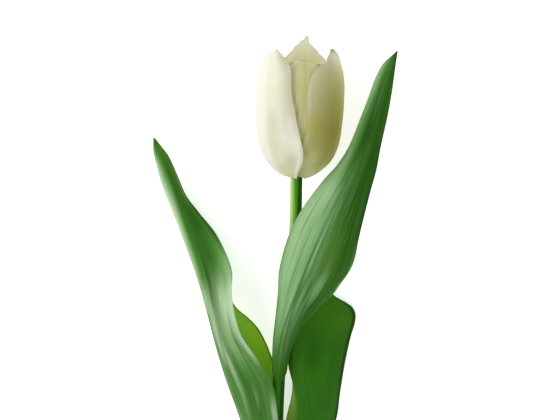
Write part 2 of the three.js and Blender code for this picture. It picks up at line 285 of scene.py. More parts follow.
def hump(value, centre, width):  # 1 at the centre, 0 from width on
    return step(abs(value - centre), width, 0.0)


def blendColours(factor, first, second):
    return factor.node("ShaderNodeMix", {"data_type": "RGBA"}, {0: factor, 6: first, 7: second}, 2)


def rgb(red, green, blue):  # a colour as read off a screen, 0 to 255
    linear = [c / 255 / 12.92 if c <= 10 else ((c / 255 + 0.055) / 1.055) ** 2.4
              for c in (red, green, blue)]
    return (*linear, 1.0)


def noise(vector, scale, detail):
    return vector.node("ShaderNodeTexNoise", None, {"Vector": vector, "Scale": scale, "Detail": detail})


def part(vector, axis):  # x, y or z by its number
    return vector.node("ShaderNodeSeparateXYZ", None, {0: vector}, axis)


def sheetPlace(at):  # u from -1 to 1 across the piece and v from 0 to 1 along it
    place = at.node("ShaderNodeUVMap", {"uv_map": "UVMap"})
    return part(place, 0) * 2.0 - 1.0, part(place, 1)


def stretched(u, v, pattern):  # noise by [count across, count along, shift, detail]
    across, along, shift, detail = pattern
    return noise(u.node("ShaderNodeCombineXYZ", None, {0: u * across, 1: v * along, 2: shift}), 1.0, detail)


def objectPlace(at):  # the place in metres, and its y, which runs along the stem
    place = at.node("ShaderNodeTexCoord", None, None, 3)
    return place, part(place, 1)


def paintLayers(colour, fields, s, layers):  # lays on each tone where its fields pass their spans
    for tone, share, spans in layers:
        amount = math.prod(step(fields[name], *span) for name, span in spans.items())
        colour = blendColours(amount * share, colour, s[tone])
    return colour


def paintZones(colour, u, v, s, zones):  # soft spots of another tone, each centred at u, v
    for centreU, centreV, widthU, widthV, tone, share in zones:
        spot = hump(u, centreU, widthU) * hump(v, centreV, widthV) * share
        colour = blendColours(spot, colour, s[tone])
    return colour


def newMaterial(name):
    material = bpy.data.materials.new(name)
    material.use_nodes = True
    material.node_tree.nodes.clear()
    return material, Wire(material.node_tree)


def surfaceOutput(at, colour, rough, bumpHeight, settings, throughColour=None, thin=1.0):
    bump = at.node("ShaderNodeBump", None, {"Height": bumpHeight, "Strength": settings["bumpStrength"],
                                            "Distance": settings["bumpDepth"] * mm})
    skin = at.node("ShaderNodeBsdfPrincipled", None, {
        "Base Color": colour, "Roughness": rough, "Normal": bump,
        "Specular IOR Level": settings["shine"], "Sheen Weight": settings.get("sheen", 0.0)})
    if throughColour is not None:
        through = at.node("ShaderNodeBsdfTranslucent", None, {"Color": throughColour})
        share = thin * settings["letsThrough"]
        skin = at.node("ShaderNodeMixShader", None, {0: share, 1: skin, 2: through})
    at.node("ShaderNodeOutputMaterial", None, {0: skin})


print("helpers ready")


# Stem
stemSettings = {
    "route": [[-8.4, -250, 3.35], [-10.6, -200, 6.5], [-11.7, -150, 10.0], [-11.2, -115, 12.5],
              [-9.6, -88, 14.4], [-5.9, -58, 16.4], [-2.7, -32, 18.1], [-1.8, 0, 20.15]],
    "radius": 3.05, "cutEndRadius": 3.35, "cutTaper": 4.0, "receptacleHeight": 3.4,
    "sides": 64, "rings": 260, "capRings": 4, "bevel": 0.25, "bevelSpan": [0.0015, 0.0],
    "grooves": 11, "grooveDepth": 0.035, "grooveWander": 2.0, "grooveSeed": 3, "grooveWaves": [3, 0.5, 2.0],
    "nodeShares": [0.20, 0.30, 0.61], "nodeSwell": 0.05, "nodeWidth": 0.008,
    "light": rgb(90, 164, 28), "dark": rgb(46, 122, 8), "shade": rgb(16, 66, 0),
    "highlightUnderBloom": rgb(162, 178, 124), "pith": rgb(205, 212, 160),
    "fibreScale": (9.0, 8.0, 9.0), "patchScale": 90.0, "spotScale": 1500.0, "spotBump": 0.3,
    # the last two layers are painted light and shade: a highlight on the stem's left side under the bloom,
    # and shade on its right side
    "layers": [["light", 1.0, {"fibres": (0.35, 0.7)}], ["light", 0.35, {"patches": (0.45, 0.75)}],
               ["highlightUnderBloom", 1.0, {"y": (0.035, 0.075), "right": (-0.2, -0.85)}],
               ["shade", 0.9, {"right": (-0.2, 0.6)}]],
    "cutSpan": [-0.1598, -0.1602], "pithSpan": [0.30, 0.62],
    "rough": 0.42, "fibreRough": 0.12, "cutRough": 0.25,
    "shine": 0.1, "bumpStrength": 0.5, "bumpDepth": 0.12,
}

bloomSettings = {
    "lean": 0.053, "rise": 0.04, "keelLift": 0.45,
    "outerCup": [[3.8, 0.5], [7.3, 1.5], [11.2, 4.2], [16.0, 10.0], [19.2, 18.0], [20.7, 28.0],
                 [21.3, 38.0]],
    "rightCup": [[3.8, 0.5], [7.1, 1.7], [11.1, 4.45], [16.35, 10.0], [19.5, 18.0], [20.8, 28.0],
                 [21.3, 38.0]],
    "leftCup": [[3.8, 0.5], [7.6, 1.4], [12.0, 4.1], [16.9, 9.9], [20.2, 17.9], [21.9, 28.0], [22.5, 38.0]],
    "innerCup": [[3.8, 2.8], [6.8, 3.8], [10.1, 6.2], [14.1, 11.5], [17.0, 19.0], [18.6, 28.5],
                 [19.1, 38.0]],
    "frontCup": [[3.8, 2.8], [6.8, 3.8], [10.1, 6.2], [14.15, 11.4], [17.1, 18.9], [18.65, 28.5],
                 [19.1, 38.0]],
}
bloomFoot = np.array(stemSettings["route"][-1], float)
bloomAxis = unit(np.array([bloomSettings["lean"], 1.0, bloomSettings["rise"]]))
bloomSide = unit(np.array([1.0, 0.0, 0.0]) - bloomAxis[0] * bloomAxis)
bloomUp = np.cross(bloomSide, bloomAxis)


def inBloom(radius, height, angle):  # angle 0 is straight up, a quarter turn is towards +X
    radius, height, angle = np.broadcast_arrays(radius, height, angle)
    return (bloomFoot + height[..., None] * bloomAxis + (radius * np.sin(angle))[..., None] * bloomSide
            + (radius * np.cos(angle))[..., None] * bloomUp)


def stemMaterial(s):
    material, at = newMaterial("stemSkin")
    place, y = objectPlace(at)
    skin = at.node("ShaderNodeAttribute", {"attribute_name": "skin"}, None, 1)
    fibres = noise(at.node("ShaderNodeMapping", None, {"Vector": skin, "Scale": s["fibreScale"]}), 1.0, 3.0)
    spots = noise(place, s["spotScale"], 2.0)
    patches = noise(place, s["patchScale"], 3.0)
    fields = {"y": y, "right": part(skin, 0), "fibres": fibres, "patches": patches}
    # the layers paint a highlight on the left side under the bloom and shade on the right side
    colour = paintLayers(s["dark"], fields, s, s["layers"])
    cut = step(y, *s["cutSpan"])
    colour = blendColours(cut * step(spots, *s["pithSpan"]), colour, s["pith"])
    rough = s["rough"] + s["fibreRough"] * fibres + s["cutRough"] * cut
    surfaceOutput(at, colour, rough, fibres + spots * s["spotBump"], s)
    return material


def makeStem(s):
    top = inBloom(0.0, s["receptacleHeight"], 0.0)
    def radius(v, angle):
        r = s["cutEndRadius"] + (s["radius"] - s["cutEndRadius"]) * np.minimum(v * s["cutTaper"], 1)
        wander = s["grooveWander"] * softWaves(v, s["grooveSeed"], *s["grooveWaves"])
        grooves = s["grooveDepth"] * np.cos(s["grooves"] * angle + wander)
        swell = sum(s["nodeSwell"] * bell(v, share, s["nodeWidth"]) for share in s["nodeShares"])
        return (r + grooves) * (1 + swell) - s["bevel"] * fade(v, *s["bevelSpan"])
    piece = tube("tulipStem", s["route"] + [list(top)], radius, s["sides"], s["rings"], s["capRings"])
    return finishPiece(piece, "stem", stemMaterial(s))


makeStem(stemSettings)


# Tepals
tepalSettings = {
    "across": 64, "along": 180, "thickness": 0.56, "marginShare": 0.3,
    "fullWithin": 0.55, "fullBelow": 0.85,  # the blade is at its full thickness for smaller u and v
    "curl": [[0, 0], [1, 0]], "curlSpan": [0.3, 1.0], "keelWidth": 0.3, "keelEnd": 1.1,
    "marginWave": 0.2, "marginWaves": [3, 2.0, 6.0], "waveFrom": [0.3, 0.6], "waveAcross": [0.6, 1.0],
    "nickDepth": 0.8, "nicksLow": [0.55, 0.86, 0.5], "nicksHigh": [0.86, 0.975, 1.0], "nickCount": 6,
    "nickWidth": [0.004, 0.009], "nickShare": [0.4, 1.0],
    "streakRelief": 0.03, "streakWaves": [7, 8.0, 22.0], "swayWidth": 0.01, "swayPace": 9,
    "dentDepth": 0.14, "dentWaves": [3, 0.6, 1.6], "dentSlant": 0.6, "dentWidth": 0.7,
    "grooveDepth": 0.05, "grooveWidth": 0.05, "grooveSpan": [0.15, 0.5],
    "lipHeight": 0.0, "lipAt": 0.95, "lipWidth": 0.06, "lipSpan": [0.38, 0.25],
    "crestHeight": 0.0, "crestAt": 0.28, "crestWidth": 0.07, "crestSpan": [0.2, 0.4],
    "reliefFoot": [0.0, 0.12], "reliefTip": [1.0, 0.9],
    "body": rgb(241, 241, 234), "shade": rgb(229, 229, 210), "foot": rgb(214, 218, 158),
    "rib": rgb(226, 226, 190), "margin": rgb(248, 246, 236), "tip": rgb(196, 194, 176),
    "point": rgb(132, 126, 112), "pointShare": 0.2, "tipDense": 0.0,
    "bright": rgb(255, 255, 238), "through": rgb(240, 236, 190), "zones": [],
    "fine": [46.0, 1.6, 0.0, 3.0], "broad": [9.0, 1.3, 4.0, 2.0], "grain": [90.0, 190.0, 2.0, 2.0],
    "layers": [["shade", 0.55, {"fine": (0.32, 0.68)}], ["shade", 0.4, {"broad": (0.4, 0.75)}],
               ["foot", 0.75, {"v": (0.42, 0.02)}], ["rib", 0.35, {"side": (0.09, 0.0), "v": (0.9, 0.4)}]],
    "tipLayers": [["tip", 0.6, {"side": (0.93, 1.0), "v": (0.8, 0.88)}],
                  ["tip", 0.5, {"v": (0.95, 0.985)}]],
    "stripSpan": [0.05, -0.12], "marginBand": [0.86, 0.99], "marginSpan": [-0.2, -0.1], "marginTint": 0.6,
    "pointSpan": [0.978, 0.996], "denseSpan": [0.8, 0.96],
    "rough": 0.5, "fineRough": 0.12, "broadRough": 0.06, "grainBump": 0.35,
    "shine": 0.3, "sheen": 0.04, "bumpStrength": 0.35, "bumpDepth": 0.12, "letsThrough": 0.42,
}
innerHalf = [[0, 2.6], [0.12, 8.6], [0.22, 12.6], [0.36, 15.6], [0.52, 16.6], [0.68, 15.6], [0.8, 13.2],
             [0.9, 9.4], [0.96, 5.4], [1, 0.45]]
tepals = {
    "tepalOuterLeft": {
        "node": "tepal_outer_left", "turn": -64, "cup": "leftCup", "tilt": 0.78, "seed": 11,
        "top": [[22.6, 48.0], [21.1, 56.0], [18.6, 61.0], [14.5, 64.3]],
        "left": [[0, 3.0], [0.12, 11.8], [0.22, 17.2], [0.34, 20.5], [0.5, 21.8], [0.65, 21.0],
                 [0.8, 18.6], [0.9, 14.6], [0.945, 9.8], [0.965, 6.0], [0.985, 2.7], [1, 0.4]],
        "right": [[0, 4.6], [0.05, 8.6], [0.1, 12.6], [0.2, 20.0], [0.27, 23.2], [0.34, 24.0],
                  [0.42, 23.6], [0.5, 22.9], [0.58, 22.0], [0.66, 20.7], [0.76, 19.8], [0.83, 18.3],
                  [0.885, 15.2], [0.93, 10.0], [0.965, 5.2], [0.985, 2.5], [1, 0.4]],
        "curl": [[0, 0], [0.34, 0], [0.45, -0.9], [0.6, -1.4], [0.78, -1.0], [1, 0]],
        "lipHeight": 0.45, "crestHeight": 0.22, "marginSpan": [0.55, 0.42], "pointShare": 0.9,
        "foot": rgb(226, 228, 190), "paintedShade": rgb(204, 205, 172), "through": rgb(246, 244, 226),
        "white": rgb(255, 255, 250), "strip": rgb(234, 231, 227), "smoke": rgb(186, 184, 166),
        # painted light and shade: the darker spots are painted shade on the body and on the right margin
        # turned from the light, the grey spots are painted shade at the tip and along the right margin, and
        # the whitest spots are painted highlights on the lower right margin
        "zones": [
            [0.3, 0.65, 0.6, 0.4, "paintedShade", 0.2], [0.38, 0.33, 0.36, 0.22, "paintedShade", 0.6],
            [1.0, 0.7, 0.4, 0.46, "paintedShade", 0.85], [0.7, 0.21, 0.24, 0.1, "paintedShade", 0.5],
            [0.9, 0.34, 0.3, 0.12, "white", 0.8], [1.0, 0.21, 0.16, 0.09, "white", 0.6],
            [0.95, 0.91, 0.5, 0.14, "smoke", 0.95], [0.44, 0.48, 0.2, 0.12, "paintedShade", 0.6],
            [0.83, 0.46, 0.14, 0.1, "white", 0.5], [0.46, 0.14, 0.3, 0.08, "paintedShade", 0.6],
            [1.02, 0.46, 0.12, 0.12, "smoke", 0.7], [1.02, 0.63, 0.14, 0.12, "smoke", 0.5],
            [1.02, 0.77, 0.16, 0.1, "smoke", 0.5]],
    },
    "tepalOuterRight": {
        "node": "tepal_outer_right", "turn": 70, "cup": "rightCup", "tilt": 0.78, "seed": 12,
        "top": [[20.8, 50.0], [18.8, 57.5], [16.9, 61.7], [14.9, 65.3]],
        "left": [[0, 5.0], [0.05, 9.4], [0.12, 14.4], [0.2, 18.6], [0.28, 20.8], [0.35, 21.6],
                 [0.48, 21.6], [0.58, 22.4], [0.66, 22.8], [0.72, 22.4], [0.77, 20.9], [0.83, 18.0],
                 [0.875, 14.4], [0.9, 9.8], [0.93, 7.6], [0.965, 4.2], [0.983, 1.6], [1, 0.4]],
        "right": [[0, 2.8], [0.12, 10.0], [0.22, 15.8], [0.34, 21.5], [0.5, 22.6], [0.65, 21.4],
                  [0.78, 17.8], [0.88, 12.4], [0.93, 8.0], [0.965, 4.2], [0.985, 2.0], [1, 0.4]],
        "tipDense": 0.8, "marginSpan": [0.45, 0.65], "pointShare": 0.5,
        # painted shade: this tepal's body, shade, foot and translucent colours are darker and more olive
        # than the others', as it lies on the side turned from the light
        "body": rgb(224, 222, 152), "shade": rgb(205, 202, 112), "foot": rgb(218, 221, 140),
        "paintedShade": rgb(168, 165, 24), "through": rgb(222, 218, 70),
        "pale": rgb(244, 245, 220), "straw": rgb(242, 243, 190),
        # the darker spots are painted shade on its middle; the pale and straw spots are painted light on
        # its left side and foot, and lighten its tip
        "zones": [
            [-0.2, 0.44, 0.9, 0.36, "paintedShade", 0.65], [-0.9, 0.78, 0.6, 0.34, "pale", 0.7],
            [0.0, 0.98, 1.2, 0.32, "pale", 1.0], [-0.75, 0.17, 0.5, 0.18, "straw", 0.9],
            [-0.5, 0.1, 0.35, 0.08, "pale", 0.6], [0.02, 0.23, 0.22, 0.1, "paintedShade", 0.8],
            [0.12, 0.3, 0.16, 0.16, "paintedShade", 1.0], [-0.2, 0.065, 0.4, 0.06, "pale", 0.7],
            [-0.95, 0.34, 0.14, 0.1, "pale", 0.6]],
    },
    "tepalOuterBack": {
        "node": "tepal_outer_back", "turn": 168, "cup": "outerCup", "tilt": 0.78, "seed": 13,
        "top": [[20.8, 49.0], [18.0, 58.0], [13.8, 65.0], [9.6, 70.8]],
        "left": [[0, 2.8], [0.12, 9.4], [0.22, 14.6], [0.34, 19.2], [0.5, 21.0], [0.62, 20.2],
                 [0.73, 16.6], [0.8, 11.8], [0.85, 8.2], [0.9, 5.2], [0.94, 2.7], [0.965, 1.4],
                 [1, 0.45]],
        "right": [[0, 2.8], [0.12, 10.2], [0.22, 16.2], [0.34, 21.6], [0.5, 24.2], [0.62, 23.0],
                  [0.73, 19.4], [0.8, 14.8], [0.85, 10.8], [0.91, 7.2], [0.96, 3.9], [1, 0.45]],
        "nickDepth": 1.1, "pointShare": 0.8, "through": rgb(238, 236, 214),
        "yellow": rgb(230, 230, 172), "paper": rgb(228, 228, 216),
        "zones": [
            [-0.1, 0.82, 0.9, 0.09, "yellow", 0.7], [0.0, 0.97, 1.4, 0.1, "paper", 1.0],
            [0.78, 0.91, 0.35, 0.06, "bright", 0.8], [0.84, 0.84, 0.2, 0.05, "bright", 0.8],
            [-0.95, 0.87, 0.25, 0.05, "bright", 0.8]],
    },
    "tepalInnerFront": {
        "node": "tepal_inner_front", "turn": 6, "cup": "frontCup", "tilt": -0.9, "seed": 14,
        "top": [[18.9, 47.5], [17.6, 54.2], [14.9, 57.6], [11.0, 58.2]],
        "left": innerHalf, "right": innerHalf,
        "grooveDepth": 0.08, "body": rgb(246, 246, 208), "shade": rgb(232, 230, 174),
        "foot": rgb(208, 212, 130), "paintedShade": rgb(206, 204, 132), "through": rgb(236, 232, 150),
        "pale": rgb(248, 248, 226),
        # painted light and shade: the bright and pale spots on its left are painted light that fills the
        # shadow along the outer left tepal's margin, and the darker spots are painted shade, one of them
        # along the midrib groove
        "zones": [
            [-0.6, 0.6, 0.35, 0.6, "pale", 0.8], [-0.1, 0.66, 0.4, 0.34, "paintedShade", 0.5],
            [0.4, 0.9, 0.4, 0.16, "pale", 0.7], [0.0, 0.8, 0.08, 0.35, "paintedShade", 0.3],
            [-0.7, 0.9, 0.22, 0.08, "bright", 0.9], [-0.37, 0.73, 0.07, 0.1, "bright", 0.8],
            [-0.25, 0.62, 0.06, 0.09, "bright", 0.8], [-0.13, 0.48, 0.06, 0.1, "bright", 0.9],
            [-0.46, 0.83, 0.08, 0.08, "bright", 0.7], [-0.2, 0.78, 0.1, 0.16, "paintedShade", 0.3]],
    },
    "tepalInnerLeft": {
        "node": "tepal_inner_left", "turn": -117, "cup": "innerCup", "tilt": 0.2, "seed": 15,
        "top": [[18.7, 47.0], [16.4, 54.6], [13.6, 58.6], [11.4, 60.4]],
        "left": innerHalf, "right": innerHalf,
    },
    "tepalInnerRight": {
        "node": "tepal_inner_right", "turn": 128, "cup": "innerCup", "tilt": 0.2, "seed": 16,
        "top": [[18.5, 46.0], [16.0, 52.6], [13.2, 56.0], [11.0, 57.4]],
        "left": innerHalf, "right": innerHalf,
    },
}


def nicks(v, seed, s):  # small tears and crinkles in the upper margin, in mm
    draw = random.Random(seed)
    depth = 0 * v
    for low, high, deepest in (s["nicksLow"], s["nicksHigh"]):
        for _ in range(s["nickCount"]):
            place, width = draw.uniform(low, high), draw.uniform(*s["nickWidth"])
            depth = np.maximum(depth, deepest * draw.uniform(*s["nickShare"]) * bell(v, place, width))
    return s["nickDepth"] * depth


def tepalSurface(s, u, v):
    seed = s["seed"]  # each wave below draws from a seed of its own
    line, ahead = alongCurve(bloomSettings[s["cup"]] + s["top"], v)
    curl = readGraph(s["curl"], v)[:, None]
    left = readGraph(s["left"], v) - nicks(v, seed, s)
    right = readGraph(s["right"], v) - nicks(v, seed + 1, s)
    u, v = np.meshgrid(u, v)
    half = np.where(u < 0, left[:, None], right[:, None])
    side = np.abs(u)
    keelRise = np.sin(math.pi * np.minimum(v * s["keelEnd"], 1))
    keel = bloomSettings["keelLift"] * bell(u, 0, s["keelWidth"]) * keelRise
    wave = s["marginWave"] * softWaves(v, seed + 7, *s["marginWaves"]) * fade(v, *s["waveFrom"])
    lift = s["tilt"] * u + keel + curl * fade(u, *s["curlSpan"]) + wave * fade(side, *s["waveAcross"])
    angle = math.radians(s["turn"]) + u * half / line[:, :1]
    surface = inBloom(line[:, :1] + ahead[:, 1:2] * lift, line[:, 1:2] - ahead[:, :1] * lift, angle)
    sway = s["swayWidth"] * np.sin(s["swayPace"] * v)
    streaks = s["streakRelief"] * softWaves(u + sway, seed + 40, *s["streakWaves"])
    dents = s["dentDepth"] * softWaves(u * s["dentSlant"] + v, seed + 20, *s["dentWaves"])
    dents = dents * bell(u, 0, s["dentWidth"])
    groove = -s["grooveDepth"] * bell(u, 0, s["grooveWidth"]) * fade(v, *s["grooveSpan"])
    lip = s["lipHeight"] * bell(u, s["lipAt"], s["lipWidth"]) * fade(v, *s["lipSpan"])
    crest = s["crestHeight"] * bell(u, s["crestAt"], s["crestWidth"]) * fade(v, *s["crestSpan"])
    inside = fade(v, *s["reliefFoot"]) * fade(v, *s["reliefTip"])
    return settle(surface, s, (streaks + dents + groove + lip + crest) * inside)


def tepalMaterial(name, s):
    material, at = newMaterial(name)
    u, v = sheetPlace(at)
    fine, broad, grain = (stretched(u, v, s[key]) for key in ("fine", "broad", "grain"))
    fields = {"fine": fine, "broad": broad, "side": abs(u), "v": v}
    colour = paintLayers(s["body"], fields, s, s["layers"])
    colour = paintZones(colour, u, v, s, s["zones"])
    if "strip" in s:
        colour = blendColours(step(u - s["crestAt"], *s["stripSpan"]), colour, s["strip"])
    margin = step(abs(u), *s["marginBand"]) * step(v, *s["marginSpan"])
    colour = blendColours(margin * s["marginTint"], colour, s["margin"])
    colour = paintLayers(colour, fields, s, s["tipLayers"])
    colour = blendColours(step(v, *s["pointSpan"]) * s["pointShare"], colour, s["point"])
    rough = s["rough"] + s["fineRough"] * fine - s["broadRough"] * broad
    thin = 1.0 - s["tipDense"] * step(v, *s["denseSpan"])
    surfaceOutput(at, colour, rough, fine + grain * s["grainBump"], s, s["through"], thin)
    return material


def makeBlade(name, spec, shared, surface, skin):
    s = {**shared, **spec}
    piece = bentSheet(name, s, lambda u, v: surface(s, u, v))
    return finishPiece(piece, s["node"], skin(name + "Skin", s))


for tepalName, tepalSpec in tepals.items():
    makeBlade(tepalName, tepalSpec, tepalSettings, tepalSurface, tepalMaterial)


# Leaves
leafSettings = {
    "across": 96, "along": 300, "thickness": 0.6, "marginShare": 0.35, "fullWithin": 0.7, "fullBelow": 0.9,
    "ribs": 17, "ribHeight": 0.06, "ribSpan": [0.0, 0.1, 0.9, 0.6], "ribMargin": [1.0, 0.9],
    "ribWander": 1.2, "wanderWaves": [3, 0.5, 1.5], "ribMix": [0.6, 0.4], "mixWaves": [4, 0.8, 3.0],
    "keelDepth": 0.2, "keelWidth": 0.05,
    "veins": [38.0, 1.8, 1.0, 3.0], "stripes": [15.0, 2.4, 5.0, 3.0], "threads": [34.0, 3.0, 9.0, 1.0],
    "breaks": [5.0, 9.0, 11.0, 1.0], "cells": [120.0, 420.0, 3.0, 2.0], "clouds": [1.8, 5.0, 7.0, 3.0],
    "cloudSpan": [0.3, 0.7], "veinSpan": [0.3, 0.7], "furrowSpan": [0.44, 0.3], "veinShare": 0.22,
    "plainRight": 0.0, "plainSpan": [0.05, 0.5], "stripeSpan": [0.5, 0.64], "stripeShare": 0.35,
    "shadeSpan": [0.46, 0.32], "shadeShare": 0.3, "threadSpan": [0.56, 0.68], "threadShare": 0.2,
    "streakSpan": [0.8, 0.5], "streakAcross": [0.6, 0.05], "streakFloor": 0.2,
    "breakSpan": [0.4, 0.6], "breakFloor": 0.4,
    # the rim is a painted highlight along the leaf's left margin, which faces the light
    "rimShare": 0.0, "rimBand": [0.14, -0.4], "rimEnd": [0.985, 0.93], "rimFull": [0.6, 0.75],
    "rimFloor": 0.4, "rimInward": [0.7, 1.0], "rimInwardBy": 0.15, "rimOutward": [0.75, 0.65],
    "rimOutwardBy": 0.12,
    "leftEdge": 0.9, "leftBand": [-0.955, -0.99], "rightEdge": 0.95, "rightBand": [0.91, 0.96],
    "rightSpan": [-0.2, -0.1], "tipSpan": [0.975, 1.0],
    "deep": rgb(52, 106, 26), "mid": rgb(80, 134, 50), "pale": rgb(146, 188, 128),
    # the waxy tone serves both the leaf's pale waxy bloom and painted highlights
    "waxAndHighlight": rgb(206, 222, 196), "white": rgb(238, 245, 232), "edge": rgb(34, 46, 18),
    # the darkest green is painted shade
    "tip": rgb(50, 56, 28), "shadowGreen": rgb(28, 76, 8),
    "through": rgb(120, 190, 30), "zones": [], "overZones": [],
    "rough": 0.5, "veinRough": 0.16, "cloudRough": 0.05, "stripeBump": 0.6, "cellBump": 0.2,
    "shine": 0.16, "bumpStrength": 0.4, "bumpDepth": 0.12, "letsThrough": 0.3,
}
